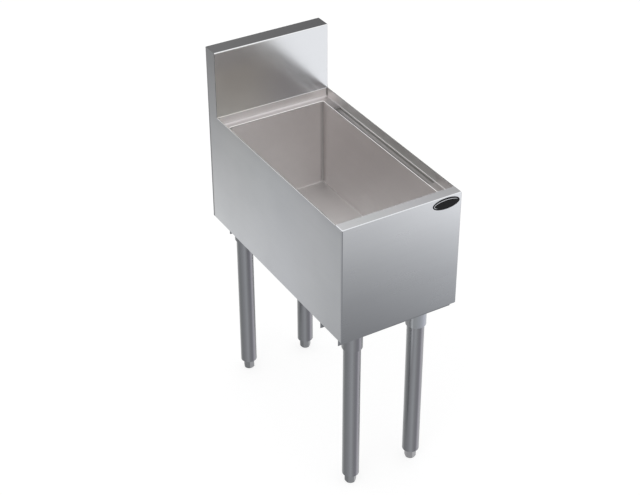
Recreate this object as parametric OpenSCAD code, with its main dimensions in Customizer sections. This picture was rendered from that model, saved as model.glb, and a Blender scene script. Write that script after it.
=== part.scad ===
// Underbar ice bin on four legs: a foam-insulated stainless bin with a front
// rim, recessed side ledges, a backsplash and a drain. Millimetres, +Z up.
// The origin is on the floor, under the middle of the whole bin.

/* [Body] */
// Width over both side panels
body_w = 304.8; // [270:0.1:450]
// Depth from the front face to the back face
body_d = 609.6; // [540:0.1:700]
// Height of the rim above the floor
rim_height = 777.5; // [720:0.5:900]
// Height of the body, from its underside to the rim
body_h = 296; // [285:0.5:340]
// Thickness of the outer sheets
panel_t = 1.2; // [0.8:0.1:2]
// Outer radius of the bends in the outer sheets
bend_r = 2.5; // [2.2:0.1:5]

/* [Front rim] */
// Depth of the flat rim along the front
rim_d = 28.5; // [20:0.5:40]
// Length of the short ends of the front sheet, which turn onto the sides
apron_return = 4.5; // [3.5:0.1:10]
// Drop from the rim to the upper edges of the sides
side_drop = 2.3; // [0.5:0.1:3.5]

/* [Backsplash] */
// Height of the backsplash above the rim
splash_h = 166.5; // [100:0.5:250]
// Thickness of the backsplash, front to back
splash_t = 42; // [30:0.5:60]

/* [Bin liner] */
// Thickness of the liner sheet
liner_t = 1.2; // [0.8:0.1:2]
// Drop from the rim to the ledges
ledge_drop = 25.4; // [15:0.1:35]
// Width of each side ledge, from the upstand to the bin wall
side_ledge_w = 20.9; // [18:0.1:40]
// Width of the rear ledge
rear_ledge_w = 16; // [10:0.5:40]
// Height of the bin floor above the underside of the body
underfloor = 42; // [35:0.5:80]
// Radius inside the corners and along the floor of the bin
bin_corner_r = 4; // [4:0.5:15]
// Radius of the cove behind the rear ledge
cove_r = 6; // [2:0.5:9]
// Radius of the bends between the side ledges and their upstands
side_bend_r = 2; // [0.5:0.1:4]
// Radius of the lip around the mouth of the bin
lip_r = 1.8; // [0.5:0.1:2]

/* [Ledge recess] */
// Width of the long recess in each side ledge
recess_w = 15; // [6:0.5:16]
// Depth of that recess
recess_drop = 5; // [2:0.5:10]
// Lip left between the bin wall and the recess
recess_lip = 3.5; // [2:0.1:5]
// Length of plain ledge in front of the recess
recess_front = 67.5; // [20:0.5:120]
// Length of plain ledge behind the recess
recess_rear = 48; // [20:0.5:120]

/* [Leg channels] */
// Thickness of the channel sheet
channel_t = 1.9; // [1.5:0.1:3]
// Height of the channel flanges
channel_h = 19.5; // [12:0.5:30]
// Width of the front channel
front_channel_w = 78; // [70:0.5:110]
// Distance from the front face to the front channel
front_channel_y = 17.7; // [5:0.1:19]
// Gap between each end of the front channel and the side of the body
front_channel_inset = 2.6; // [1:0.1:15]
// Width of the rear channel
rear_channel_w = 71; // [60:0.5:110]
// Gap between each end of the rear channel and the side of the body
rear_channel_inset = 7; // [1:0.1:15]
// Height of the short lip at the back of the rear channel
rear_lip_h = 8; // [4:0.5:15]

/* [Legs] */
// Distance from each side of the body to the axis of a leg
leg_inset = 65.8; // [45:0.1:90]
// Distance from the front face to the axis of the front legs
front_leg_y = 60.3; // [45:0.1:68]
// Distance from the back face to the axis of the rear legs
rear_leg_back = 34.6; // [30:0.1:45]
// Outer diameter of the leg tubes
tube_od = 41.3; // [32:0.1:44]
// Wall of the leg tubes
tube_wall = 1.6; // [1:0.1:2.5]
// Outer diameter of the leg sockets
socket_od = 49; // [48:0.1:56]
// Height of the leg sockets
socket_h = 70; // [45:0.5:100]
// Thickness of the closed top of a socket
socket_cap_t = 3; // [2:0.5:6]

/* [Set screws] */
// Diameter of the screw that locks each leg in its socket
screw_d = 8; // [5:0.5:10]
// Height of the screw above the lower end of the socket
screw_up = 24; // [12:0.5:30]
// How far the screw stands out of the socket
screw_proud = 1.5; // [0.5:0.1:4]
// Size of the hexagon for the key, across its corners
screw_key = 4.6; // [2.5:0.1:5.5]
// Depth of the hexagon for the key
screw_key_d = 3; // [1:0.1:4]

/* [Feet] */
// Height of the hexagon of a foot below the leg tube
foot_h = 28; // [20:0.5:40]
// Size of the hexagon, across its corners
foot_hex = 28.6; // [22:0.1:34]
// Diameter of the threaded stud of a foot
stud_d = 15.9; // [10:0.1:18]
// How far a foot can be screwed out
foot_travel = 25; // [10:0.5:40]
// Length of the stud that stays above the ferrule with the foot screwed out
stud_spare = 17; // [5:0.5:40]
// Height of the threaded ferrule in the end of a leg tube
ferrule_h = 28; // [15:0.5:30]

/* [Drain] */
// Diameter of the drain flange on the bin floor
drain_flange_d = 70; // [62:0.5:90]
// Thickness of that flange
drain_flange_t = 2; // [1.5:0.1:4]
// Outer diameter of the cup below the flange
drain_cup_d = 54; // [52:0.5:58]
// Depth of the cup below the bin floor
drain_cup_h = 14; // [12:0.5:20]
// Outer diameter of the drain pipe
drain_pipe_d = 33.4; // [26:0.1:36]
// Bore of the drain pipe
drain_bore_d = 26.6; // [15:0.1:28]
// Outer diameter of the plain end of the pipe, for a hose
drain_spigot_d = 32; // [29:0.1:33]
// Length of that plain end
drain_spigot_l = 30; // [15:0.5:36]
// Wall of the cup
drain_wall = 2; // [1.5:0.1:3]
// Length of the pipe below the body
drain_tail = 48; // [30:0.5:80]
// Thickness of the gasket under the flange
gasket_t = 1.5; // [1:0.1:3]
// Thickness of the washer under the body
washer_t = 2; // [1:0.1:3]
// Height of the locknut
nut_h = 9; // [6:0.5:14]
// Size of the locknut, across its corners
nut_hex = 54; // [48:0.5:64]

/* [Strainer] */
// Thickness of the lift-out strainer plate
strainer_t = 1.5; // [1:0.1:2]
// Depth of the strainer plate below the top of the flange
strainer_drop = 3.5; // [2.5:0.1:5]
// Width of the step that the strainer rests on
strainer_step = 3; // [2:0.1:5]
// Diameter of the holes in the strainer
strainer_hole = 5; // [3:0.1:6]
// Diameter of the knob of the strainer
knob_d = 8; // [5:0.5:10]
// Height of the knob above the plate
knob_h = 5; // [3:0.5:8]

/* [Badge] */
// Width of the oval badge
badge_w = 70; // [40:0.1:75]
// Height of the oval badge
badge_h = 27.6; // [15:0.1:28]
// Thickness of the badge
badge_t = 1; // [0.5:0.1:2]
// Distance from the right side to the middle of the badge
badge_side = 41.2; // [38:0.1:120]
// Distance from the rim down to the middle of the badge
badge_drop = 17; // [17:0.1:100]

/* [Clearances] */
// Seam between the ends of the front sheet and the side sheets
seam_gap = 0.5; // [0.2:0.1:1.5]
// Gap around a leg tube in its socket
slip_gap = 0.1; // [0.05:0.05:0.3]
// Gap around a stud or pipe in its thread
thread_gap = 0.1; // [0.05:0.05:0.2]
// Gap between a foot that is screwed home and the leg tube
seat_gap = 0.3; // [0.1:0.1:1]
// Gap around the drain in the sheets and the foam
drain_gap = 0.6; // [0.2:0.1:2]

/* [Hidden] */
$fn = 96;

// Overrun of every cut
cut = 1;

// Planes of the body: x from the middle, y from the front face, z from the floor
half_w = body_w / 2;
bottom_z = rim_height - body_h;
top_z = rim_height + splash_h;
edge_z = rim_height - side_drop;
inner_x = half_w - panel_t;
inner_back_y = body_d - panel_t;
splash_y = body_d - splash_t;

// Planes of the liner
upstand_x = inner_x - liner_t;
upstand_y = splash_y - liner_t;
bin_x = upstand_x - side_ledge_w;
bin_back_y = upstand_y - rear_ledge_w;
ledge_z = rim_height - ledge_drop;
floor_z = bottom_z + underfloor;
under_ledge_z = ledge_z - liner_t;

// Legs, in the order of their names
LEG_NAMES = ["front_left", "front_right", "rear_left", "rear_right"];
leg_x = half_w - leg_inset;
rear_leg_y = body_d - rear_leg_back;
LEG_PLACES = [[-leg_x, front_leg_y], [leg_x, front_leg_y], [-leg_x, rear_leg_y], [leg_x, rear_leg_y]];
// Turn of each foot in degrees, as a screwed foot stops at any angle
FOOT_TURNS = [39, 18, 12, 42];
stud_l = ferrule_h + foot_travel + stud_spare;
socket_top_z = bottom_z - channel_t;
socket_low_z = socket_top_z - socket_h;
tube_top_z = socket_top_z - socket_cap_t;

// Drain, in the middle of the bin floor
drain_y = (rim_d + bin_back_y) / 2;
flange_z = floor_z - drain_flange_t;
pan_z = flange_z - gasket_t;
pan_r = drain_flange_d / 2 + drain_gap;
drain_end_z = bottom_z - drain_tail;
strainer_z = flange_z + drain_flange_t - strainer_drop;
cup_in_r = drain_cup_d / 2 - drain_wall;
strainer_r = cup_in_r - thread_gap - seat_gap;

// The model is drawn with its front face at y = 0 and set in the middle here
module place() {
  translate([0, (badge_t - body_d) / 2, 0]) children();
}

// Box between two corners
module slab(low, high) {
  translate(low) cube(high - low);
}

// Sheet section in the plane of y and z, drawn out along x between two places
module along_x(x0, x1) {
  translate([x0, 0, 0]) rotate([90, 0, 90]) linear_extrude(x1 - x0) children();
}

// What a round corner leaves off: the sides say where the corner points
module corner_waste(place, r, side_y, side_z) {
  translate(place) scale([side_y, side_z]) difference() {
    square(r + cut);
    circle(r);
  }
}

// Rectangle whose upper corners are round, the front one and the rear one
module round_top(low, high, r_front, r_rear) {
  difference() {
    translate(low) square(high - low);
    if (r_front > 0) corner_waste([low[0] + r_front, high[1] - r_front], r_front, -1, 1);
    if (r_rear > 0) corner_waste([high[0] - r_rear, high[1] - r_rear], r_rear, 1, 1);
  }
}

// Plan of the front sheet with round corners, set in by inset on every side
module apron_plan(inset) {
  x = half_w - bend_r;
  translate([-half_w + inset, bend_r]) square([2 * (half_w - inset), rim_d - 2 * bend_r]);
  translate([-x, inset]) square([2 * x, rim_d - 2 * inset]);
  for (cx = [-x, x], cy = [bend_r, rim_d - bend_r]) translate([cx, cy]) circle(bend_r - inset);
}

// Block on that plan from the height low up, with round upper edges
module apron_block(inset, low) {
  r = bend_r - inset;
  x = half_w - bend_r;
  y0 = bend_r;
  y1 = rim_d - bend_r;
  z1 = rim_height - bend_r;
  translate([0, 0, low]) linear_extrude(z1 - low) apron_plan(inset);
  slab([-x, y0, z1], [x, y1, z1 + r]);
  for (cy = [y0, y1]) translate([-x, cy, z1]) rotate([0, 90, 0]) cylinder(h = 2 * x, r = r);
  for (cx = [-x, x]) translate([cx, y0, z1]) rotate([-90, 0, 0]) cylinder(h = y1 - y0, r = r);
  for (cx = [-x, x], cy = [y0, y1]) translate([cx, cy, z1]) sphere(r);
}

// Face, rim, the rim's turned-down rear edge and the short ends on the sides
module front_apron() {
  color("#b9bbbe") place() difference() {
    apron_block(0, bottom_z);
    apron_block(panel_t, bottom_z - cut);
    slab([-half_w - cut, apron_return, bottom_z - cut], [half_w + cut, rim_d + cut, ledge_z]);
    for (x = [-half_w - cut, inner_x])
      slab([x, apron_return, bottom_z], [x + panel_t + cut, rim_d + cut, rim_height - apron_return]);
  }
}

// Side sheet: panel, step under the rim and the ear that closes the backsplash
module side_outline() {
  y0 = apron_return + seam_gap;
  translate([y0, bottom_z]) square([body_d - y0, body_h - y0]);
  translate([rim_d + seam_gap, bottom_z]) square([body_d - rim_d - seam_gap, edge_z - bottom_z]);
  round_top([splash_y, bottom_z], [body_d, top_z], bend_r, 0);
}

module left_side_panel() {
  color("#a6a8ac") place() along_x(-half_w, -inner_x) side_outline();
}

module right_side_panel() {
  color("#a6a8ac") place() along_x(inner_x, half_w) side_outline();
}

module back_panel() {
  color("#9c9ea2") place()
    slab([-inner_x, inner_back_y, bottom_z], [inner_x, body_d, top_z - panel_t]);
}

// Plan of the space inside the outer sheets, with the round front corners
module shell_plan() {
  x = half_w - bend_r;
  translate([-inner_x, bend_r]) square([2 * inner_x, inner_back_y - bend_r]);
  translate([-x, panel_t]) square([2 * x, bend_r]);
  for (cx = [-x, x]) translate([cx, bend_r]) circle(bend_r - panel_t);
}

module bottom_panel() {
  color("#8f9195") place() difference() {
    translate([0, 0, bottom_z]) linear_extrude(panel_t) shell_plan();
    drain_hole(drain_pipe_d / 2 + drain_gap);
  }
}

// Face and top of the backsplash, bent from one sheet
module backsplash() {
  color("#8a8683") place() along_x(-inner_x, inner_x) difference() {
    round_top([splash_y, under_ledge_z], [body_d, top_z], bend_r, 0);
    round_top([splash_y + panel_t, under_ledge_z - cut], [body_d + cut, top_z - panel_t],
              bend_r - panel_t, 0);
  }
}

// Hole at the drain, through everything between the underside and the bin
module drain_hole(r) {
  translate([0, drain_y, bottom_z - cut]) cylinder(h = floor_z - bottom_z + 2 * cut, r = r);
}

// Plan of the bin with round corners, made larger by grow on every side
module bin_plan(grow) {
  r = bin_corner_r + grow;
  x = bin_x + grow;
  y0 = rim_d - grow;
  y1 = bin_back_y + grow;
  translate([-x, y0 + r]) square([2 * x, y1 - y0 - 2 * r]);
  translate([r - x, y0]) square([2 * (x - r), y1 - y0]);
  for (cx = [r - x, x - r], cy = [y0 + r, y1 - r]) translate([cx, cy]) circle(r);
}

// Space of the bin up to the height top, with coved corners and floor edges
module bin_space(grow, top) {
  r = bin_corner_r + grow;
  x = bin_x + grow - r;
  y0 = rim_d - grow + r;
  y1 = bin_back_y + grow - r;
  z = floor_z - grow + r;
  translate([0, 0, z]) linear_extrude(top - z) bin_plan(grow);
  slab([-x, y0, z - r], [x, y1, z]);
  for (cy = [y0, y1]) translate([-x, cy, z]) rotate([0, 90, 0]) cylinder(h = 2 * x, r = r);
  for (cx = [-x, x]) translate([cx, y0, z]) rotate([-90, 0, 0]) cylinder(h = y1 - y0, r = r);
  for (cx = [-x, x], cy = [y0, y1]) translate([cx, cy, z]) sphere(r);
}

// Sharp edge that the round lip leaves off, as a section beside the bin wall
module lip_waste() {
  translate([lip_r, -lip_r]) scale([-1, 1]) difference() {
    square(lip_r + cut);
    circle(lip_r);
  }
}

// What the round lip leaves off along the sides, the rear and the rear corners
module mouth_waste() {
  x = bin_x - bin_corner_r;
  y0 = rim_d + bin_corner_r;
  y1 = bin_back_y - bin_corner_r;
  translate([-x, bin_back_y, ledge_z]) rotate([90, 0, 90]) linear_extrude(2 * x) lip_waste();
  for (side = [-1, 1]) scale([side, 1, 1]) {
    translate([bin_x, y1, ledge_z]) rotate([90, 0, 0]) linear_extrude(y1 - y0) lip_waste();
    translate([x, y1, ledge_z]) rotate_extrude(angle = 90) translate([bin_corner_r, 0]) lip_waste();
  }
}

// Cove in the corner between a ledge and an upstand, as a section
module cove_section(r) {
  difference() {
    translate([-r, -liner_t]) square([r + liner_t, r + liner_t]);
    translate([-r, r]) circle(r);
  }
}

// Recess in one side ledge, made larger by grow, up to the height top
module recess_space(side, grow, top) {
  x0 = bin_x + recess_lip - grow;
  x1 = bin_x + recess_lip + recess_w + grow;
  y0 = rim_d + recess_front - grow;
  y1 = bin_back_y - recess_rear + grow;
  z0 = ledge_z - recess_drop - grow;
  translate([side > 0 ? x0 : -x1, y0, z0]) cube([x1 - x0, y1 - y0, top - z0]);
}

// Round pan in the bin floor for the drain flange, made larger by grow
module drain_pan(grow) {
  translate([0, drain_y, pan_z - grow]) cylinder(h = floor_z - pan_z + grow + cut, r = pan_r + grow);
}

module bin_liner() {
  color("#96918d") place() difference() {
    union() {
      bin_space(liner_t, ledge_z);
      slab([-inner_x, rim_d - liner_t, under_ledge_z], [inner_x, splash_y, ledge_z]);
      for (x = [-inner_x, upstand_x])
        slab([x, rim_d, under_ledge_z], [x + liner_t, splash_y, edge_z]);
      slab([-inner_x, upstand_y, under_ledge_z], [inner_x, splash_y, edge_z]);
      along_x(-inner_x, inner_x) translate([upstand_y, ledge_z]) cove_section(cove_r);
      for (side = [-1, 1]) scale([side, 1, 1]) translate([upstand_x, splash_y, ledge_z])
        rotate([90, 0, 0]) linear_extrude(splash_y - rim_d) cove_section(side_bend_r);
      for (side = [-1, 1]) recess_space(side, liner_t, ledge_z);
      drain_pan(liner_t);
    }
    bin_space(0, ledge_z + cut);
    mouth_waste();
    for (side = [-1, 1]) recess_space(side, 0, ledge_z + cut);
    drain_pan(0);
    drain_hole(drain_cup_d / 2 + drain_gap);
  }
}

// Foam between the outer sheets and the liner, foamed in one piece
module foam_insulation() {
  color("#d9cf9e") place() difference() {
    union() {
      slab([-inner_x, bend_r, bottom_z + panel_t], [inner_x, inner_back_y, under_ledge_z]);
      apron_block(panel_t, bottom_z + panel_t);
    }
    bin_space(liner_t, ledge_z + cut);
    slab([-inner_x - cut, rim_d - liner_t, under_ledge_z], [inner_x + cut, rim_d + cut, rim_height]);
    for (side = [-1, 1]) recess_space(side, liner_t, ledge_z + cut);
    drain_pan(liner_t);
    drain_hole(drain_cup_d / 2 + drain_gap);
  }
}

module front_leg_channel() {
  x = half_w - front_channel_inset;
  color("#85878b") place() along_x(-x, x) difference() {
    translate([front_channel_y, bottom_z - channel_h]) square([front_channel_w, channel_h]);
    translate([front_channel_y + channel_t, bottom_z - channel_h - cut])
      square([front_channel_w - 2 * channel_t, channel_h - channel_t + cut]);
  }
}

module rear_leg_channel() {
  x = half_w - rear_channel_inset;
  y0 = inner_back_y - rear_channel_w;
  color("#85878b") place() along_x(-x, x) difference() {
    translate([y0, bottom_z - channel_h]) square([rear_channel_w, channel_h]);
    translate([y0 + channel_t, bottom_z - channel_h - cut])
      square([rear_channel_w - 2 * channel_t, channel_h - channel_t + cut]);
    translate([y0 + rear_channel_w / 2, bottom_z - channel_h - cut])
      square([rear_channel_w, channel_h - rear_lip_h + cut]);
  }
}

// Puts its children at the axis of leg i
module at_leg(i) {
  place() translate([LEG_PLACES[i][0], LEG_PLACES[i][1], 0]) children();
}

// Puts its children on the axis of the screw in leg i, which points to the back
module at_screw() {
  translate([0, 0, socket_low_z + screw_up]) rotate([-90, 0, 0]) children();
}

module leg_socket(i) {
  color("#9da0a5") at_leg(i) difference() {
    translate([0, 0, socket_low_z]) cylinder(h = socket_h, d = socket_od);
    translate([0, 0, socket_low_z - cut])
      cylinder(h = socket_h - socket_cap_t + cut, r = tube_od / 2 + slip_gap);
    at_screw() cylinder(h = socket_od, r = screw_d / 2 + thread_gap);
  }
}

module leg_tube(i) {
  color("#85878b") at_leg(i) translate([0, 0, foot_h]) difference() {
    cylinder(h = tube_top_z - foot_h, d = tube_od);
    translate([0, 0, -cut]) cylinder(h = tube_top_z - foot_h + 2 * cut, r = tube_od / 2 - tube_wall);
  }
}

module foot_ferrule(i) {
  color("#6f7175") at_leg(i) translate([0, 0, foot_h]) difference() {
    cylinder(h = ferrule_h, r = tube_od / 2 - tube_wall);
    translate([0, 0, -cut]) cylinder(h = ferrule_h + 2 * cut, r = stud_d / 2 + thread_gap);
  }
}

module foot(i) {
  color("#77797d") at_leg(i) {
    rotate([0, 0, FOOT_TURNS[i]]) cylinder(h = foot_h - seat_gap, d = foot_hex, $fn = 6);
    cylinder(h = foot_h + stud_l, d = stud_d);
  }
}

module set_screws() {
  color("#4c4e52") for (i = [0 : len(LEG_PLACES) - 1]) at_leg(i) at_screw() difference() {
    translate([0, 0, tube_od / 2]) cylinder(h = (socket_od - tube_od) / 2 + screw_proud, d = screw_d);
    translate([0, 0, socket_od / 2 + screw_proud - screw_key_d])
      cylinder(h = screw_key_d + cut, d = screw_key, $fn = 6);
  }
}

// Flange, cup, threaded pipe and plain end, turned in one piece
module drain_body() {
  pipe_r = drain_pipe_d / 2;
  bore_r = drain_bore_d / 2;
  cup_r = drain_cup_d / 2;
  cup_z = flange_z - drain_cup_h;
  spigot_z = drain_end_z + drain_spigot_l;
  top = flange_z + drain_flange_t;
  color("#a3a5a9") place() translate([0, drain_y, 0]) difference() {
    union() {
      translate([0, 0, flange_z]) cylinder(h = drain_flange_t, d = drain_flange_d);
      translate([0, 0, cup_z]) cylinder(h = drain_cup_h, r = cup_r);
      translate([0, 0, spigot_z]) cylinder(h = cup_z - spigot_z + cut, r = pipe_r);
      translate([0, 0, drain_end_z]) cylinder(h = drain_spigot_l + cut, d = drain_spigot_d);
    }
    translate([0, 0, strainer_z - strainer_t])
      cylinder(h = top - strainer_z + strainer_t + cut, r = cup_in_r);
    translate([0, 0, cup_z + drain_wall]) cylinder(h = drain_cup_h, r = cup_in_r - strainer_step);
    translate([0, 0, drain_end_z - cut]) cylinder(h = top - drain_end_z, r = bore_r);
  }
}

// Flat ring on the axis of the drain
module drain_ring(z, h, r_in, r_out) {
  translate([0, drain_y, z]) difference() {
    cylinder(h = h, r = r_out);
    translate([0, 0, -cut]) cylinder(h = h + 2 * cut, r = r_in);
  }
}

module drain_gasket() {
  color("#26272a") place()
    drain_ring(pan_z, gasket_t, drain_cup_d / 2 + drain_gap, drain_flange_d / 2 - drain_gap);
}

module drain_washer() {
  color("#26272a") place()
    drain_ring(bottom_z - washer_t, washer_t, drain_pipe_d / 2 + drain_gap, nut_hex / 2);
}

module drain_locknut() {
  color("#b08d57") place() translate([0, drain_y, bottom_z - washer_t - nut_h]) difference() {
    cylinder(h = nut_h, d = nut_hex, $fn = 6);
    translate([0, 0, -cut]) cylinder(h = nut_h + 2 * cut, r = drain_pipe_d / 2 + thread_gap);
  }
}

// Rings of holes in the strainer: share of its radius, and number of holes
STRAINER_RING_SHARES = [0.42, 0.74];
STRAINER_RING_COUNTS = [6, 12];

module drain_strainer() {
  color("#a3a5a9") place() translate([0, drain_y, strainer_z - strainer_t]) {
    difference() {
      cylinder(h = strainer_t, r = strainer_r);
      for (ring = [0 : len(STRAINER_RING_SHARES) - 1], k = [1 : STRAINER_RING_COUNTS[ring]])
        rotate([0, 0, 360 * k / STRAINER_RING_COUNTS[ring]])
          translate([strainer_r * STRAINER_RING_SHARES[ring], 0, -cut])
            cylinder(h = strainer_t + 2 * cut, d = strainer_hole);
    }
    cylinder(h = strainer_t + knob_h, d = knob_d);
  }
}

// Blank oval plate on the front face
module badge() {
  sides = 72;
  oval = [for (k = [1 : sides]) [badge_w / 2 * cos(360 * k / sides), badge_h / 2 * sin(360 * k / sides)]];
  color("#17181a") place() translate([half_w - badge_side, 0, rim_height - badge_drop])
    rotate([90, 0, 0]) linear_extrude(badge_t) polygon(oval);
}

front_apron();
left_side_panel();
right_side_panel();
back_panel();
bottom_panel();
backsplash();
bin_liner();
foam_insulation();
front_leg_channel();
rear_leg_channel();
for (i = [0 : len(LEG_NAMES) - 1]) {
  leg_socket(i);
  leg_tube(i);
  foot_ferrule(i);
  foot(i);
}
set_screws();
drain_body();
drain_gasket();
drain_washer();
drain_locknut();
drain_strainer();
badge();
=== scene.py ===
"""Underbar ice bin: looks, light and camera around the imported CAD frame."""
import math

import bmesh
import bpy
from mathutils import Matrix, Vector


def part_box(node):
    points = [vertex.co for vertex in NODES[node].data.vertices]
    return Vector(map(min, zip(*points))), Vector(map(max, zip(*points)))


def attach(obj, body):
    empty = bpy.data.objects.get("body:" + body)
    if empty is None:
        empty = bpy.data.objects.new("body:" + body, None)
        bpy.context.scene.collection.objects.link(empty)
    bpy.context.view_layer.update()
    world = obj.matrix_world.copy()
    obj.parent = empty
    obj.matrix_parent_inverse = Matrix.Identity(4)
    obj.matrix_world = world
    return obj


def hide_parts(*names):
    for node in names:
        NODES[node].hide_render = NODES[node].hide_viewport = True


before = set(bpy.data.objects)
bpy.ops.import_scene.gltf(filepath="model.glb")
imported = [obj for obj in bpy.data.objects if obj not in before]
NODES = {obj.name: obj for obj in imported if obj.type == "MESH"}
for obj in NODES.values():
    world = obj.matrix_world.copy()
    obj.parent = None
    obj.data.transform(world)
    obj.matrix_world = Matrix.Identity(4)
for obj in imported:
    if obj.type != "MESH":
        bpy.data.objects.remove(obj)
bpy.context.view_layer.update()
LEGS = ("front_left", "front_right", "rear_left", "rear_right")
FOOT_TURNS = (39, 18, 12, 42)    # how far each foot's hexagon is turned, in degrees

# Planes of the body, in metres, as the CAD has them
RIM_Z = 0.7775           # top of the rim
EDGE_Z = 0.7752          # top edges of the side panels and the liner
LEDGE_Z = 0.7521         # ledges beside and behind the mouth
BOTTOM_Z = 0.4815        # lower edges of the outer sheets
HALF_W = 0.1524          # outer side faces
LINER_X = 0.1500         # inner faces of the liner's upstands
BIN_X = 0.1291           # side walls of the tub
FRONT_Y = -0.3043        # face of the apron
RIM_BACK = -0.2758       # rear edge of the rim, and front wall of the tub
RECESS_FRONT = -0.2083   # ends of the long recess in the side ledges
RECESS_REAR = 0.1981
BIN_BACK = 0.2461        # rear wall of the tub
BACK_Y = 0.3053          # back of the body

# Heights on a side panel: start of its shading, foot and upper end of the ear
SIDE_LOW_Z = 0.487
EAR_FOOT_Z = 0.80
EAR_HIGH_Z = 0.93

# Colour sockets of a Mix node
MIX_A, MIX_B, MIX_OUT = 6, 7, 2


def linear(value):
    """A screen grey or colour, 0 to 255, as a linear colour."""
    if not isinstance(value, (tuple, list)):
        value = (value, value, value)
    out = []
    for v in value:
        v /= 255.0
        out.append(v / 12.92 if v <= 0.04045 else ((v + 0.055) / 1.055) ** 2.4)
    return tuple(out) + (1.0,)


class Mat:
    """A material and short calls that add nodes to it."""

    def __init__(self, name):
        self.mat = bpy.data.materials.new(name)
        self.mat.use_nodes = True
        self.tree = self.mat.node_tree
        self.tree.nodes.clear()
        self.out = self.tree.nodes.new("ShaderNodeOutputMaterial")
        self.bsdf = self.tree.nodes.new("ShaderNodeBsdfPrincipled")
        self.tree.links.new(self.bsdf.outputs[0], self.out.inputs[0])
        coord = self.tree.nodes.new("ShaderNodeTexCoord")
        self.place = coord.outputs["Object"]
        split = self.tree.nodes.new("ShaderNodeSeparateXYZ")
        self.link(self.place, split.inputs[0])
        self.x, self.y, self.z = split.outputs
        geo = self.tree.nodes.new("ShaderNodeNewGeometry")
        normal = self.tree.nodes.new("ShaderNodeSeparateXYZ")
        self.link(geo.outputs["Normal"], normal.inputs[0])
        self.nx, self.ny, self.nz = normal.outputs

    def link(self, a, b):
        self.tree.links.new(a, b)

    def put(self, socket, value):
        """Links a socket to another one, or sets it to a plain value."""
        if isinstance(value, bpy.types.NodeSocket):
            self.link(value, socket)
        elif value is not None:
            socket.default_value = value[:3] if socket.type == "VECTOR" else value

    def math(self, op, a, b=None, c=None):
        n = self.tree.nodes.new("ShaderNodeMath")
        n.operation = op
        for i, v in enumerate((a, b, c)):
            self.put(n.inputs[i], v)
        return n.outputs[0]

    def times(self, a, b):
        return self.math("MULTIPLY", a, b)

    def absolute(self, value):
        return self.math("ABSOLUTE", value)

    def span(self, value, low, high, to_low=0.0, to_high=1.0, smooth=False):
        """Maps low..high to to_low..to_high, held at both ends."""
        n = self.tree.nodes.new("ShaderNodeMapRange")
        n.interpolation_type = "SMOOTHSTEP" if smooth else "LINEAR"
        n.clamp = True
        self.put(n.inputs[0], value)
        for i, v in enumerate((low, high, to_low, to_high)):
            n.inputs[i + 1].default_value = v
        return n.outputs[0]

    def ramp(self, value, low, high, stops):
        """Colour along value from low to high: stops are (share, screen colour)."""
        n = self.tree.nodes.new("ShaderNodeValToRGB")
        self.link(self.span(value, low, high), n.inputs[0])
        e = n.color_ramp.elements
        while len(e) < len(stops):
            e.new(0.5)
        for item, (at, colour) in zip(e, stops):
            item.position = at
            item.color = linear(colour)
        return n.outputs[0]

    def mix(self, fac, a, b):
        n = self.tree.nodes.new("ShaderNodeMix")
        n.data_type = "RGBA"
        self.put(n.inputs[0], fac)
        self.put(n.inputs[MIX_A], a)
        self.put(n.inputs[MIX_B], b)
        return n.outputs[MIX_OUT]

    def scaled(self, colour, factor):
        """A colour times a factor."""
        n = self.tree.nodes.new("ShaderNodeVectorMath")
        n.operation = "SCALE"
        self.put(n.inputs[0], colour)
        self.put(n.inputs["Scale"], factor)
        return n.outputs[0]

    def noise(self, scale, stretch=(1, 1, 1), detail=3.0, rough=0.55):
        """Noise that stays on the object, finer along the axes with a larger stretch."""
        m = self.tree.nodes.new("ShaderNodeMapping")
        self.link(self.place, m.inputs[0])
        m.inputs["Scale"].default_value = stretch
        n = self.tree.nodes.new("ShaderNodeTexNoise")
        self.link(m.outputs[0], n.inputs[0])
        n.inputs["Scale"].default_value = scale
        n.inputs["Detail"].default_value = detail
        n.inputs["Roughness"].default_value = rough
        return n.outputs[0]

    def bump(self, height, distance):
        n = self.tree.nodes.new("ShaderNodeBump")
        n.inputs["Strength"].default_value = 1.0
        n.inputs["Distance"].default_value = distance
        self.link(height, n.inputs["Height"])
        return n.outputs[0]


# Noise scales of the fine streaks and the wide bands along each axis
STREAKS = {"x": (4.0, 420.0, 420.0), "y": (420.0, 4.0, 420.0), "z": (420.0, 420.0, 4.0)}
BANDS = {"x": (1.2, 60.0, 60.0), "y": (60.0, 1.2, 60.0), "z": (60.0, 60.0, 1.2)}


def steel(m, colour, along, rough=0.3, spread=0.06, tone=0.018, depth=0.000006):
    """Brushed steel in a colour: streaks and bands along an axis, and smudges in its gloss.

    tone is how much the streaks lighten and darken it, spread how much they change its
    roughness, and depth how deep they are, in metres.
    """
    streaks = m.noise(1.0, STREAKS[along], detail=4.0, rough=0.6)
    bands = m.noise(1.0, BANDS[along], detail=2.0, rough=0.5)
    smudge = m.noise(9.0, detail=4.0, rough=0.6)
    vary = m.math("ADD", m.span(streaks, 0.25, 0.75, 1 - tone, 1 + tone),
                  m.span(bands, 0.3, 0.7, -tone / 2, tone / 2))
    m.link(m.scaled(colour, vary), m.bsdf.inputs["Base Color"])
    m.bsdf.inputs["Metallic"].default_value = 1.0
    gloss = m.math("ADD", m.span(streaks, 0.25, 0.75, rough - spread / 2, rough + spread / 2),
                   m.span(smudge, 0.4, 0.7, -spread / 2, spread))
    m.link(gloss, m.bsdf.inputs["Roughness"])
    m.link(m.bump(streaks, depth), m.bsdf.inputs["Normal"])
    return m.mat


# --- materials of the outer sheets and the liner -------------------------------------------

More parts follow.
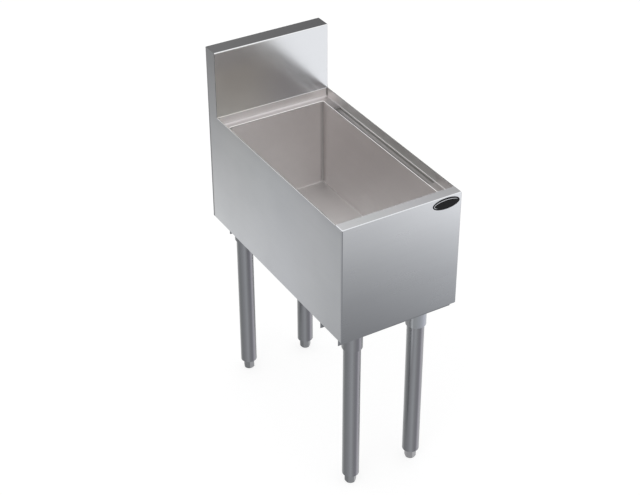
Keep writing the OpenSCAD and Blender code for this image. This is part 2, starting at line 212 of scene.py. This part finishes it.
def apron_steel():
    """Face with a painted reflection that lightens upwards and to the right, flat rim with its
    own painted reflection, painted highlight on the bend between them.
    """
    m = Mat("apron_steel")
    # Painted reflection: the face lightens upwards and to the right
    face = m.ramp(m.z, BOTTOM_Z, RIM_Z,
                  [(0.0, (130, 132, 136)), (0.33, (149, 151, 155)), (0.62, (170, 172, 176)),
                   (0.85, (189, 191, 195)), (1.0, (199, 201, 205))])
    across = m.math("POWER", m.span(m.x, -HALF_W, HALF_W), 1.4)
    face = m.scaled(face, m.math("MULTIPLY_ADD", across, 0.475, 0.795))
    # Painted reflection on the rim's top, darker to the right
    rim = m.ramp(m.x, -HALF_W, HALF_W,
                 [(0.0, (195, 195, 197)), (0.24, (185, 187, 188)), (0.45, (182, 182, 184)),
                  (0.63, (176, 176, 179)), (0.83, (169, 169, 171)), (1.0, (164, 164, 165))])
    # End faces in a painted, shaded copy of the steel
    end = m.ramp(m.z, BOTTOM_Z, RIM_Z, [(0.0, (146, 148, 152)), (1.0, (152, 154, 158))])
    up = m.span(m.nz, 0.95, 0.995, smooth=True)
    side = m.span(m.absolute(m.nx), 0.85, 0.98, smooth=True)
    # Painted dark reflection on the upright corner bends, and a painted highlight on the bend to
    # the rim
    corner = m.times(m.span(m.absolute(m.nx), 0.15, 0.5, smooth=True),
                     m.span(m.nz, 0.0, 0.25, 1.0, 0.0))
    edge = m.times(m.span(m.nz, 0.30, 0.60, smooth=True), m.span(m.nz, 0.95, 0.995, 1.0, 0.0))
    c = m.mix(corner, face, linear((118, 120, 124)))
    c = m.mix(side, c, end)
    c = m.mix(edge, c, linear((236, 238, 241)))
    c = m.mix(up, c, rim)
    return steel(m, c, "x", rough=0.30, spread=0.04, tone=0.012, depth=0.0000025)


def side_steel(name, edge, front, ear, back):
    """Side panel in painted reflection, with painted highlights and shade on its top, front and
    rear edges and the ear's front.
    """
    m = Mat(name)
    # Painted reflection: lighter low down and towards the rear
    high = m.ramp(m.y, FRONT_Y, BACK_Y,
                  [(0.0, (153, 155, 158)), (0.2, (157, 158, 161)), (0.4, (155, 157, 160)),
                   (0.6, (153, 155, 157)), (0.8, (147, 148, 149)), (1.0, (138, 139, 141))])
    low = m.ramp(m.y, FRONT_Y, BACK_Y,
                 [(0.0, (151, 153, 156)), (0.2, (164, 166, 169)), (0.4, (175, 177, 181)),
                  (0.7, (182, 184, 187)), (1.0, (186, 188, 190))])
    up = m.span(m.z, SIDE_LOW_Z, EDGE_Z)
    c = m.mix(up, low, high)
    # Painted light at half height towards the front, and painted shade up the ear
    middle = m.times(up, m.math("SUBTRACT", 1.0, up))
    hump = m.times(middle, m.span(m.y, FRONT_Y, BACK_Y, 0.34, 0.0))
    c = m.scaled(c, m.math("ADD", hump, m.span(m.z, RIM_Z - 0.03, EAR_HIGH_Z, 1.0, 0.635)))
    # Painted highlight and shade on the edges: the top-edge colour below the ear, darker on the
    # ear's top, then the front, ear-front and rear colours
    on_ear = m.span(m.z, EAR_FOOT_Z, EAR_FOOT_Z + 0.01)
    top_edge = m.mix(on_ear, linear(edge), linear((112, 112, 114)))
    c = m.mix(m.span(m.nz, 0.6, 0.95), c, top_edge)
    front_edge = m.mix(m.span(m.z, RIM_Z, RIM_Z + 0.01), linear(front), linear(ear))
    c = m.mix(m.span(m.ny, -0.9, -0.5, 1.0, 0.0), c, front_edge)
    c = m.mix(m.span(m.y, BACK_Y - 0.008, BACK_Y - 0.005), c, linear(back))
    return steel(m, c, "y", rough=0.32, spread=0.05, tone=0.014)


def splash_steel():
    """Bright face and darker top, both painted reflection, and a painted highlight along the bend
    between them.
    """
    m = Mat("splash_steel")
    top = m.ramp(m.x, -HALF_W, HALF_W, [(0.0, (97, 97, 98)), (1.0, (73, 73, 75))])
    # Painted reflection: the face is lighter towards its lower left
    low_left = m.times(m.span(m.x, -0.09, 0.06, 1.0, 0.0, smooth=True),
                       m.span(m.z, 0.87, 0.93, 1.0, 0.45, smooth=True))
    face = m.mix(low_left, linear((224, 226, 230)), linear((242, 242, 237)))
    c = m.mix(m.span(m.nz, 0.86, 0.98, smooth=True), face, top)
    edge = m.times(m.span(m.nz, 0.40, 0.60, smooth=True),
                   m.span(m.nz, 0.88, 0.98, 1.0, 0.0, smooth=True))
    c = m.mix(edge, c, linear((250, 251, 252)))
    return steel(m, c, "x", rough=0.20, spread=0.03, tone=0.010, depth=0.000002)


def tub_colour(m, flat, away):
    """Walls and floor of the tub, with painted shade along the corners between them."""
    walls = m.ramp(m.y, RIM_BACK, BIN_BACK, [(0.0, (233, 229, 228)), (1.0, (231, 227, 226))])
    # Painted shade: walls darker low down, and at the front also near the mouth; floor darker
    # towards the rear
    walls = m.scaled(walls, m.span(m.z, 0.54, 0.64, 1.048, 1.102))
    floor = m.ramp(m.y, 0.06, 0.22,
                   [(0.0, (212, 213, 213)), (0.5, (204, 204, 204)), (1.0, (195, 195, 195))])
    front = m.span(m.y, -0.15, 0.10, 1.0, 0.0)
    up_wall = m.span(m.z, 0.60, 0.735, 0.03, -0.035)
    walls = m.scaled(walls, m.math("MULTIPLY_ADD", front, up_wall, 1.0))
    tub = m.mix(flat, walls, floor)

    # Painted shade in the upright corners, on the bends at the floor, and as a dark line in the
    # rear corners
    arc = m.times(m.span(m.absolute(m.nx), 0.05, 0.25), m.span(m.absolute(m.ny), 0.35, 0.75))
    lean = m.times(m.span(m.nz, 0.3, 0.6, smooth=True),
                   m.span(m.nz, 0.8, 0.96, 1.0, 0.0, smooth=True))
    line = m.times(m.span(away, BIN_X - 0.0105, BIN_X - 0.005, smooth=True),
                   m.span(m.y, BIN_BACK - 0.006, BIN_BACK - 0.001, smooth=True))
    tub = m.scaled(tub, m.span(line, 0.0, 1.0, 1.0, 0.74))
    tub = m.scaled(tub, m.span(arc, 0.0, 1.0, 1.0, 0.84))
    bends = m.math("MULTIPLY_ADD", lean, m.span(m.y, 0.05, 0.20, -0.18, -0.32), 1.0)
    return m.scaled(tub, bends)


def deck_colour(m, flat, away):
    """Ledges with the long recess, and the upstands around them, in painted light and shade."""
    # Painted shade: ledges darker beside the recess; painted light at its ends and at the rear
    inside = m.times(
        m.span(m.y, RECESS_FRONT - 0.004, RECESS_FRONT + 0.006, smooth=True),
        m.span(m.y, RECESS_REAR - 0.004, RECESS_REAR + 0.010, 1.0, 0.0, smooth=True))
    sunk = m.times(m.span(m.z, LEDGE_Z - 0.0015, LEDGE_Z - 0.0005, 1.0, 0.0),
                   m.span(m.z, LEDGE_Z - 0.0062, LEDGE_Z - 0.0058))
    # Painted shade in the recess: lighter towards the upstand, darker towards the front
    low = m.mix(m.span(away, 0.1378, 0.1425), linear((152, 150, 149)), linear((180, 178, 177)))
    low = m.scaled(low, m.span(m.y, -0.06, 0.08, 0.88, 1.0))
    recess_shade = m.mix(m.span(away, 0.135, 0.140), linear((104, 102, 101)), linear((120, 118, 117)))
    beside = m.mix(sunk, recess_shade, low)
    ledge = m.mix(inside, linear((161, 158, 157)), beside)
    rear = m.span(m.y, BIN_BACK - 0.004, BIN_BACK + 0.002, smooth=True)
    ledge = m.mix(m.span(m.y, 0.212, 0.240, smooth=True), ledge, linear((188, 185, 184)))
    ledge = m.mix(rear, ledge, linear((207, 203, 203)))

    # Upstands in lit and shaded copies: front and rear, sides, painted reflection beside the
    # recess, painted shade at its rear end and on its own walls
    upstand = m.mix(m.span(m.absolute(m.nx), 0.4, 0.7),
                    linear((246, 243, 242)), linear((226, 223, 222)))
    upstand = m.mix(inside, upstand, linear((231, 230, 229)))
    bend = m.times(m.span(m.absolute(m.nx), 0.25, 0.45), m.span(m.nz, 0.2, 0.4))
    bend = m.times(bend, m.span(m.y, RECESS_REAR, RECESS_REAR + 0.008, 0.0, 0.75))
    upstand = m.mix(bend, upstand, linear((190, 188, 187)))
    upstand = m.mix(sunk, upstand, linear((168, 166, 165)))
    deck = m.mix(flat, upstand, ledge)

    # Painted highlight on the bend behind the rear ledge, and painted shade in its corners
    above_ledge = m.span(m.z, LEDGE_Z + 0.0001, LEDGE_Z + 0.0004)
    below_upstand = m.span(m.z, LEDGE_Z + 0.0040, LEDGE_Z + 0.0062, 1.0, 0.0)
    cove = m.times(rear, m.times(above_ledge, below_upstand))
    deck = m.mix(cove, deck, linear((213, 209, 209)))
    rear_corner_shade = m.times(m.span(away, 0.1462, 0.1474), m.span(m.y, 0.2598, 0.2608))
    rear_corner_shade = m.times(rear_corner_shade, m.span(m.z, LEDGE_Z - 0.0005, LEDGE_Z + 0.0002))
    return m.mix(rear_corner_shade, deck, linear((168, 166, 165)))


def liner_steel():
    """The tub, the deck of ledges and upstands above it, and the liner's edges, in painted light
    and shade.
    """
    m = Mat("liner_steel")
    away = m.absolute(m.x)
    flat = m.span(m.nz, 0.6, 0.92, smooth=True)
    tub = tub_colour(m, flat, away)
    deck = deck_colour(m, flat, away)
    high = m.span(m.z, LEDGE_Z - 0.003, LEDGE_Z - 0.002)
    outside = m.times(m.span(away, BIN_X + 0.0014, BIN_X + 0.0018), m.span(m.z, 0.7, 0.72))
    c = m.mix(m.math("MAXIMUM", high, outside), tub, deck)

    # Painted highlight on the round lip of the mouth
    lip = m.times(m.span(m.nz, 0.12, 0.35, smooth=True), m.span(m.nz, 0.90, 0.98, 1.0, 0.0))
    lip = m.times(lip, m.times(m.span(m.z, LEDGE_Z - 0.0022, LEDGE_Z - 0.0018),
                               m.span(m.z, LEDGE_Z + 0.0001, LEDGE_Z + 0.0003, 1.0, 0.0)))
    c = m.mix(lip, c, linear((250, 248, 247)))

    # Top edges: painted highlight between the sides, then a painted highlight on the left side
    # and painted shade on the right side
    top = m.times(m.span(m.z, EDGE_Z - 0.0004, EDGE_Z - 0.0001),
                  m.span(away, LINER_X, LINER_X + 0.0002, 1.0, 0.0))
    c = m.mix(top, c, linear((248, 246, 246)))
    rim = m.times(m.span(m.z, EDGE_Z - 0.0004, EDGE_Z - 0.0001),
                  m.span(away, LINER_X, LINER_X + 0.0002))
    left_right = m.mix(m.span(m.x, -0.01, 0.01), linear((200, 199, 199)), linear((104, 103, 103)))
    c = m.mix(rim, c, left_right)
    return steel(m, c, "y", rough=0.42, spread=0.08, tone=0.016)


def plain_steel(name, colour, along, rough=0.34):
    """Steel in one colour with faint darker clouds."""
    m = Mat(name)
    darker = tuple(v * 0.86 for v in colour)
    c = m.mix(m.span(m.noise(6.0), 0.35, 0.7, 0.0, 0.25), linear(colour), linear(darker))
    return steel(m, c, along, rough)


# --- materials of the legs and feet --------------------------------------------------------

RIGHT_FRONT = (0.859, -0.512)    # level direction that the bands are counted from

# Painted reflection bands, stops from facing away from the right front, 0, to facing it, 1; the
# socket and bright foot tables are lit copies
TUBE_BANDS = [(0.0, (150, 152, 154)), (0.05, (124, 126, 128)), (0.12, (104, 106, 108)),
              (0.22, (109, 111, 114)), (0.35, (120, 121, 125)), (0.45, (130, 132, 136)),
              (0.52, (133, 135, 139)), (0.59, (123, 124, 128)), (0.66, (113, 114, 118)),
              (0.74, (110, 110, 116)), (0.79, (114, 114, 120)), (0.84, (141, 140, 147)),
              (0.91, (154, 153, 160)), (0.95, (146, 146, 150)), (0.985, (118, 119, 122)),
              (1.0, (108, 109, 112))]
SOCKET_BANDS = [(0.0, (150, 152, 154)), (0.06, (120, 122, 124)), (0.15, (127, 129, 131)),
                (0.5, (136, 139, 143)), (0.65, (142, 145, 151)), (0.78, (154, 157, 165)),
                (0.9, (174, 177, 187)), (0.97, (172, 175, 182)), (1.0, (150, 152, 155))]
FOOT_BANDS = [(0.0, (98, 99, 102)), (0.25, (109, 111, 113)), (0.5, (124, 126, 129)),
              (0.75, (138, 139, 142)), (0.9, (154, 154, 158)), (1.0, (148, 148, 151))]
BRIGHT_FOOT_BANDS = [(0.0, (124, 123, 126)), (0.3, (139, 139, 142)), (0.6, (142, 142, 145)),
                     (0.8, (158, 158, 161)), (0.92, (166, 166, 169)), (1.0, (150, 150, 153))]


def facing(m):
    """How far a surface faces along the body's right front, -1 to 1."""
    return m.math("MULTIPLY_ADD", m.nx, RIGHT_FRONT[0], m.times(m.ny, RIGHT_FRONT[1]))


def round_steel(name, bands, lift=0.0):
    """Steel with soft painted reflection bands of light and dark around an upright axis.

    lift paints light onto the dark band on the left near the top, by that share.
    """
    m = Mat(name)
    level = m.span(m.absolute(m.nz), 0.5, 0.9)
    c = m.mix(level, m.ramp(facing(m), -1.0, 1.0, bands), linear((118, 120, 124)))
    if lift:
        f = facing(m)
        band = m.times(m.span(f, -0.68, -0.50, smooth=True),
                       m.span(f, -0.38, -0.26, 1.0, 0.0, smooth=True))
        near_top = m.span(m.z, 0.28, 0.38, 0.0, lift)
        c = m.scaled(c, m.math("MULTIPLY_ADD", band, near_top, 1.0))
    return steel(m, c, "z", rough=0.3, spread=0.05, tone=0.014, depth=0.000004)


# --- other materials -----------------------------------------------------------------------

def rubber():
    m = Mat("seal_rubber")
    m.link(m.ramp(m.noise(220.0), 0.3, 0.7, [(0.0, 30), (1.0, 46)]), m.bsdf.inputs["Base Color"])
    m.link(m.span(m.noise(60.0), 0.3, 0.7, 0.62, 0.8), m.bsdf.inputs["Roughness"])
    m.link(m.bump(m.noise(900.0), 0.0001), m.bsdf.inputs["Normal"])
    return m.mat


def brass():
    m = Mat("nut_brass")
    clouds = m.span(m.noise(40.0), 0.35, 0.7)
    c = m.mix(clouds, linear((205, 170, 100)), linear((160, 122, 66)))
    return steel(m, c, "z", rough=0.28)


def foam():
    m = Mat("foam")
    c = m.ramp(m.noise(160.0), 0.3, 0.7, [(0.0, (196, 182, 128)), (1.0, (226, 216, 170))])
    m.link(c, m.bsdf.inputs["Base Color"])
    m.bsdf.inputs["Roughness"].default_value = 0.9
    m.link(m.bump(m.noise(700.0), 0.0006), m.bsdf.inputs["Normal"])
    return m.mat


def badge_black():
    m = Mat("badge_black")
    c = m.ramp(m.noise(300.0), 0.35, 0.65, [(0.0, (10, 11, 13)), (1.0, (18, 19, 22))])
    m.link(c, m.bsdf.inputs["Base Color"])
    m.link(m.span(m.noise(50.0), 0.35, 0.7, 0.2, 0.3), m.bsdf.inputs["Roughness"])
    m.link(m.bump(m.noise(800.0), 0.00002), m.bsdf.inputs["Normal"])
    m.bsdf.inputs["Specular IOR Level"].default_value = 0.14
    return m.mat


def weld_steel():
    m = Mat("weld_steel")
    c = m.ramp(m.noise(180.0, detail=4.0), 0.3, 0.7,
               [(0.0, (112, 110, 108)), (0.5, (140, 138, 137)), (1.0, (166, 164, 163))])
    return steel(m, c, "z", rough=0.36, spread=0.1, tone=0.03, depth=0.00002)


# --- the CAD nodes -------------------------------------------------------------------------

def dress(names, mat):
    for n in names:
        o = NODES[n]
        o.data.materials.clear()
        o.data.materials.append(mat)


def soften(names, width, segments):
    """Small radius on the sharp edges of sheet and turned pieces."""
    for n in names:
        o = NODES[n]
        weld = o.modifiers.new("weld", "WELD")
        weld.merge_threshold = 0.00001
        flat = o.modifiers.new("flat", "DECIMATE")
        flat.decimate_type = "DISSOLVE"
        flat.angle_limit = math.radians(1)
        b = o.modifiers.new("bevel", "BEVEL")
        b.width = width
        b.segments = segments
        b.limit_method = "ANGLE"
        b.angle_limit = math.radians(30)
        b.harden_normals = True


dress(["front_apron"], apron_steel())
# Left panel: painted highlight on its top edge; right panel: painted shade on its top edge and a
# painted highlight on the ear's front; both darker along the rear edge
dress(["left_side_panel"],
      side_steel("left_side_steel", edge=(238, 239, 241), front=(150, 151, 153),
                 ear=(150, 151, 153), back=(112, 113, 115)))
dress(["right_side_panel"],
      side_steel("right_side_steel", edge=(102, 102, 103), front=(172, 173, 175),
                 ear=(250, 250, 251), back=(112, 113, 115)))
dress(["back_panel"], plain_steel("back_steel", (168, 170, 174), "x"))
dress(["bottom_panel"], plain_steel("bottom_steel", (150, 152, 156), "x"))
dress(["backsplash"], splash_steel())
dress(["bin_liner"], liner_steel())
dress(["foam_insulation"], foam())
dress(["front_leg_channel", "rear_leg_channel"],
      plain_steel("channel_steel", (120, 122, 126), "x"))
tube_steel = round_steel("tube_steel", TUBE_BANDS)
dress(["leg_tube_" + leg for leg in LEGS], tube_steel)
dress(["leg_socket_" + leg for leg in LEGS], tube_steel)
# The front right socket and tube get lit copies, with painted light on their dark band
dress(["leg_socket_front_right"], round_steel("socket_steel", SOCKET_BANDS, lift=0.50))
dress(["leg_tube_front_right"], round_steel("right_tube_steel", TUBE_BANDS, lift=0.62))
dress(["foot_ferrule_" + leg for leg in LEGS],
      plain_steel("ferrule_steel", (130, 132, 136), "z"))
dress(["set_screws"], plain_steel("screw_steel", (90, 92, 96), "z"))
dress(["drain_body", "drain_strainer"],
      plain_steel("drain_steel", (196, 198, 201), "z", rough=0.2))
dress(["drain_gasket", "drain_washer"], rubber())
dress(["drain_locknut"], brass())

soften(["left_side_panel", "right_side_panel", "back_panel"], 0.0004, 2)
soften(["front_leg_channel", "rear_leg_channel"], 0.0015, 3)
soften(["drain_locknut"], 0.001, 3)


# --- the scene's own pieces, in metres -----------------------------------------------------

RING_IN_X, RING_IN_Z = 0.0037, 0.0044    # bright ring's middle, in from the badge's edge
RING_HALF_W, RING_HIGH = 0.00074, 0.00030
FOOT_SIDES = 48          # points around a foot
FOOT_FLAT_R = 0.01238    # from a foot's axis to its flats
STUD_R = 0.00795
THREAD_PITCH = 0.0023
THREAD_DEPTH = 0.0012
THREAD_STEPS = 6         # rings in one turn of a stud's thread
STUD_CHAMFER = 0.0012
RIPPLE_RINGS = 6         # rings in one ripple of a weld bead
WELD_POINTS = 144        # rings around a socket
STITCH_STARTS = (-0.112, -0.02, 0.072)
STITCH_L = 0.040
STITCH_STEPS = 41
PIPE_TURNS = 3.0         # turns of the thread on the drain pipe
PIPE_THREAD_R = 0.01662
PIPE_PLAIN_L = 0.0308    # from the pipe's end to its thread


def skin(rows, wrap=False):
    """Closed mesh over rings of points that all have the same count."""
    bm = bmesh.new()
    add_skin(bm, rows, wrap)
    return bm


def add_skin(bm, rows, wrap=False):
    """Adds the faces between rings: the last joins the first, or both ends get a cap."""
    grid = [[bm.verts.new(p) for p in row] for row in rows]
    count = len(grid[0])
    pairs = list(zip(grid, grid[1:])) + ([(grid[-1], grid[0])] if wrap else [])
    for low, high in pairs:
        for i in range(count):
            j = (i + 1) % count
            bm.faces.new((low[i], low[j], high[j], high[i]))
    if not wrap:
        bm.faces.new(list(reversed(grid[0])))
        bm.faces.new(grid[-1])


def piece(name, bm, mat, body, sharp=32):
    """Object on a body, with its material; edges over sharp degrees stay sharp."""
    bmesh.ops.recalc_face_normals(bm, faces=bm.faces)
    mesh = bpy.data.meshes.new(name)
    bm.to_mesh(mesh)
    bm.free()
    mesh.shade_smooth()
    mesh.set_sharp_from_angle(angle=math.radians(sharp))
    mesh.materials.append(mat)
    o = bpy.data.objects.new(name, mesh)
    bpy.context.scene.collection.objects.link(o)
    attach(o, body)
    return o


def bead(path, radius, ripple, closed, sides=10):
    """Rings of a rippled bead along a path; an open one is thin at both ends."""
    rows = []
    last = len(path) - 1
    for i, p in enumerate(path):
        before = path[i - 1] if closed or i > 0 else p
        after = path[(i + 1) % len(path)] if closed or i < last else p
        along = (after - before).normalized()
        out = along.cross(Vector((0, 0, 1))).normalized()
        up = out.cross(along)
        r = radius * (1 + ripple * math.sin(i * math.tau / RIPPLE_RINGS))
        if not closed:
            r *= math.sin(math.pi * (i + 0.6) / (last + 1.2)) ** 0.35
        rows.append([p + out * r * math.cos(math.tau * k / sides)
                     + up * r * math.sin(math.tau * k / sides) for k in range(sides)])
    return rows


def oval(half_x, half_z, y, centre, count=96):
    return [Vector((centre.x + half_x * math.cos(math.tau * k / count), y,
                    centre.z + half_z * math.sin(math.tau * k / count)))
            for k in range(count)]


def badge_slope(m, centre, half_x, half_z):
    """From the badge's lower right, -1, to its upper left, 1."""
    across = m.math("DIVIDE", m.math("SUBTRACT", m.x, centre.x), half_x)
    up = m.math("DIVIDE", m.math("SUBTRACT", m.z, centre.z), half_z)
    return m.math("SUBTRACT", up, m.times(across, 0.45))


def make_badge():
    """Oval plate with a raised rim, an inlaid ring with a painted highlight, and a low crown."""
    lo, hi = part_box("badge")
    centre = (lo + hi) / 2
    half_x, half_z, thick = (hi.x - lo.x) / 2, (hi.z - lo.z) / 2, hi.y - lo.y
    # Millimetres in from the edge along x and z, and share of the thickness
    profile = [(0.0, 0.0, 0.0), (0.0, 0.0, 0.62), (0.10, 0.10, 0.80), (0.35, 0.35, 0.90),
               (2.6, 3.4, 0.90), (2.8, 3.6, 0.72), (4.6, 5.2, 0.72), (4.8, 5.4, 0.88),
               (6.0, 6.4, 0.94), (8.8, 9.0, 0.985), (11.5, 11.5, 1.0)]
    rows = [oval(half_x - in_x / 1000, half_z - in_z / 1000, hi.y - share * thick, centre)
            for in_x, in_z, share in profile]
    plate = piece("badge_plate", skin(rows), badge_black(), "bin", 25)
    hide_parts("badge")

    ring = []
    sides = 10
    path = oval(half_x - RING_IN_X, half_z - RING_IN_Z, 0, centre)
    for i, p in enumerate(path):
        along = (path[(i + 1) % len(path)] - path[i - 1]).normalized()
        out = along.cross(Vector((0, 1, 0))).normalized()
        row = []
        for angle in (math.tau * k / sides for k in range(sides)):
            y = hi.y - 0.66 * thick - RING_HIGH * math.sin(angle)
            row.append(p + out * RING_HALF_W * math.cos(angle) + Vector((0, y, 0)))
        ring.append(row)
    bright = Mat("badge_line")
    slope = badge_slope(bright, centre, half_x, half_z)
    # Painted highlight on the ring towards the upper left, painted shade towards the lower right
    colour = bright.ramp(slope, -1.0, 1.0,
                         [(0.0, (26, 27, 29)), (0.40, (34, 35, 38)),
                          (0.56, (186, 188, 192)), (1.0, (218, 220, 224))])
    piece("badge_ring", skin(ring, wrap=True), steel(bright, colour, "x", rough=0.25),
          "bin")


def hexagon(angle, turn, flat_r):
    """Distance from the axis to a hexagon's side at an angle."""
    return flat_r / math.cos((angle - turn) % (math.pi / 3) - math.pi / 6)


def make_foot(leg, turn, mat):
    """Hexagon with turned chamfers and a threaded stud."""
    stud_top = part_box("foot_" + leg)[1].z
    tube_lo, tube_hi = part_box("leg_tube_" + leg)
    cx, cy = (tube_lo.x + tube_hi.x) / 2, (tube_lo.y + tube_hi.y) / 2
    angles = [turn + math.tau * k / FOOT_SIDES for k in range(FOOT_SIDES)]
    top = tube_lo.z - 0.0003
    # Heights and the widest radius at each; 0.02 leaves the hexagon whole
    limits = [(0.0, 0.0112), (0.0004, 0.0118), (0.0016, 0.0131), (0.0030, 0.02),
              (top - 0.0016, 0.02), (top - 0.0006, 0.0131), (top, 0.0122),
              (top, STUD_R - THREAD_DEPTH)]
    rows = []
    for z, limit in limits:
        row = []
        for a in angles:
            r = min(limit, hexagon(a, turn, FOOT_FLAT_R))
            row.append(Vector((cx + r * math.cos(a), cy + r * math.sin(a), z)))
        rows.append(row)
    steps = int((stud_top - top) / (THREAD_PITCH / THREAD_STEPS))
    for n in range(1, steps):
        z = top + n * THREAD_PITCH / THREAD_STEPS
        fade = min(1.0, n / THREAD_STEPS)
        blunt = max(0.0, z - (stud_top - STUD_CHAMFER))
        row = []
        for a in angles:
            phase = (z / THREAD_PITCH - a / math.tau) % 1.0
            cut_in = max(0.0, 1.0 - abs(phase - 0.5) / 0.42)
            r = STUD_R - THREAD_DEPTH * (1 - fade) - THREAD_DEPTH * cut_in * fade - blunt
            row.append(Vector((cx + r * math.cos(a), cy + r * math.sin(a), z)))
        rows.append(row)
    foot = piece("foot_piece_" + leg, skin(rows), mat, "foot_" + leg, 28)
    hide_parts("foot_" + leg)


def make_welds(mat):
    """Beads around the sockets and stitches along the channels."""
    bm = bmesh.new()
    for leg in LEGS:
        lo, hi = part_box("leg_socket_" + leg)
        cx, cy, r = (lo.x + hi.x) / 2, (lo.y + hi.y) / 2, (hi.x - lo.x) / 2 + 0.0007
        path = [Vector((cx + r * math.cos(math.tau * k / WELD_POINTS),
                        cy + r * math.sin(math.tau * k / WELD_POINTS), hi.z - 0.0008))
                for k in range(WELD_POINTS)]
        add_skin(bm, bead(path, 0.0017, 0.12, closed=True), wrap=True)
    piece("socket_welds", bm, mat, "bin", 50)

    bm = bmesh.new()
    for name in ("front_leg_channel", "rear_leg_channel"):
        lo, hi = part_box(name)
        for y in (lo.y, hi.y) if name.startswith("front") else (lo.y,):
            for x in STITCH_STARTS:
                path = [Vector((x + STITCH_L * k / STITCH_STEPS, y, hi.z - 0.0004))
                        for k in range(STITCH_STEPS + 1)]
                add_skin(bm, bead(path, 0.0013, 0.14, closed=False))
    piece("channel_welds", bm, mat, "bin", 50)


def make_drain_thread(mat):
    """Raised thread on the drain pipe between the locknut and the plain end."""
    nut_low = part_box("drain_locknut")[0].z
    body_lo, body_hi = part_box("drain_body")
    cx, cy = (body_lo.x + body_hi.x) / 2, (body_lo.y + body_hi.y) / 2
    low, high = body_lo.z + PIPE_PLAIN_L, nut_low - 0.0004
    count = int(PIPE_TURNS * 40)
    path = [Vector((cx + PIPE_THREAD_R * math.cos(PIPE_TURNS * math.tau * k / count),
                    cy + PIPE_THREAD_R * math.sin(PIPE_TURNS * math.tau * k / count),
                    low + (high - low) * k / count)) for k in range(count + 1)]
    piece("drain_thread", skin(bead(path, 0.00055, 0.0, closed=False, sides=8)), mat,
          "bin", 60)


make_badge()
foot_steel = round_steel("foot_steel", FOOT_BANDS)
# The front right foot gets a lit copy with brighter painted reflection bands
bright_foot = round_steel("bright_foot_steel", BRIGHT_FOOT_BANDS)
for leg, degrees in zip(LEGS, FOOT_TURNS):
    make_foot(leg, math.radians(degrees), bright_foot if leg == "front_right" else foot_steel)
make_welds(weld_steel())
make_drain_thread(NODES["drain_body"].data.materials[0])


# --- floor, world, light, camera -----------------------------------------------------------

FLOOR_GREY = 0.30        # share of the light on it that the floor gives back
FLOOR_GLOW = 0.77        # what it adds for the camera and for mirrors
WORLD_LIGHT = 0.85       # strength of the world as a light; camera and mirrors see it at 1
CAMERA_PLACE = (-1.48747, -2.47079, 2.45163)
CAMERA_TURN = (56.0193, 0.1061, -30.6723)        # degrees
LENS = 82.405


def rays(tree):
    """Camera, glossy and transmission rays, as one factor."""
    path = tree.nodes.new("ShaderNodeLightPath")
    total = path.outputs["Is Camera Ray"]
    for name in ("Is Glossy Ray", "Is Transmission Ray"):
        add = tree.nodes.new("ShaderNodeMath")
        add.use_clamp = True
        add.operation = "ADD"
        tree.links.new(total, add.inputs[0])
        tree.links.new(path.outputs[name], add.inputs[1])
        total = add.outputs[0]
    return total


def make_floor():
    """White ground for the camera, plain grey for the light."""
    bm = bmesh.new()
    bmesh.ops.create_grid(bm, x_segments=8, y_segments=8, size=12.0)
    mesh = bpy.data.meshes.new("floor")
    bm.to_mesh(mesh)
    bm.free()
    floor = bpy.data.objects.new("floor", mesh)
    bpy.context.scene.collection.objects.link(floor)
    mat = bpy.data.materials.new("floor_white")
    mat.use_nodes = True
    t = mat.node_tree
    t.nodes.clear()
    out = t.nodes.new("ShaderNodeOutputMaterial")
    add = t.nodes.new("ShaderNodeAddShader")
    dif = t.nodes.new("ShaderNodeBsdfDiffuse")
    dif.inputs[0].default_value = (FLOOR_GREY, FLOOR_GREY, FLOOR_GREY, 1)
    em = t.nodes.new("ShaderNodeEmission")
    scale = t.nodes.new("ShaderNodeMath")
    scale.operation = "MULTIPLY"
    t.links.new(rays(t), scale.inputs[0])
    scale.inputs[1].default_value = FLOOR_GLOW
    t.links.new(scale.outputs[0], em.inputs[1])
    t.links.new(dif.outputs[0], add.inputs[0])
    t.links.new(em.outputs[0], add.inputs[1])
    t.links.new(add.outputs[0], out.inputs[0])
    mesh.materials.append(mat)


def make_world():
    world = bpy.data.worlds.new("studio")
    bpy.context.scene.world = world
    world.use_nodes = True
    t = world.node_tree
    t.nodes.clear()
    out = t.nodes.new("ShaderNodeOutputWorld")
    bg = t.nodes.new("ShaderNodeBackground")
    bg.inputs[0].default_value = (1, 1, 1, 1)
    mixed = t.nodes.new("ShaderNodeMapRange")
    t.links.new(rays(t), mixed.inputs[0])
    mixed.inputs["To Min"].default_value = WORLD_LIGHT
    mixed.inputs["To Max"].default_value = 1.0
    t.links.new(mixed.outputs[0], bg.inputs[1])
    t.links.new(bg.outputs[0], out.inputs[0])


def area(name, place, target, size, power):
    """Square area light, in metres and watts, that points at a target."""
    data = bpy.data.lights.new(name, "AREA")
    data.shape = "SQUARE"
    data.size = size
    data.energy = power
    o = bpy.data.objects.new(name, data)
    bpy.context.scene.collection.objects.link(o)
    o.location = place
    o.rotation_euler = (Vector(target) - Vector(place)).to_track_quat("-Z", "Y").to_euler()


def make_camera():
    data = bpy.data.cameras.new("camera")
    data.sensor_fit = "HORIZONTAL"
    data.sensor_width = 36.0
    data.lens = LENS
    o = bpy.data.objects.new("camera", data)
    bpy.context.scene.collection.objects.link(o)
    o.location = CAMERA_PLACE
    o.rotation_euler = [math.radians(turn) for turn in CAMERA_TURN]
    bpy.context.scene.camera = o


make_floor()
make_world()
area("key", place=(-2.2, -1.6, 2.9), target=(0, 0, 0.6), size=1.6, power=14)
make_camera()
bpy.context.scene.view_settings.view_transform = "Standard"
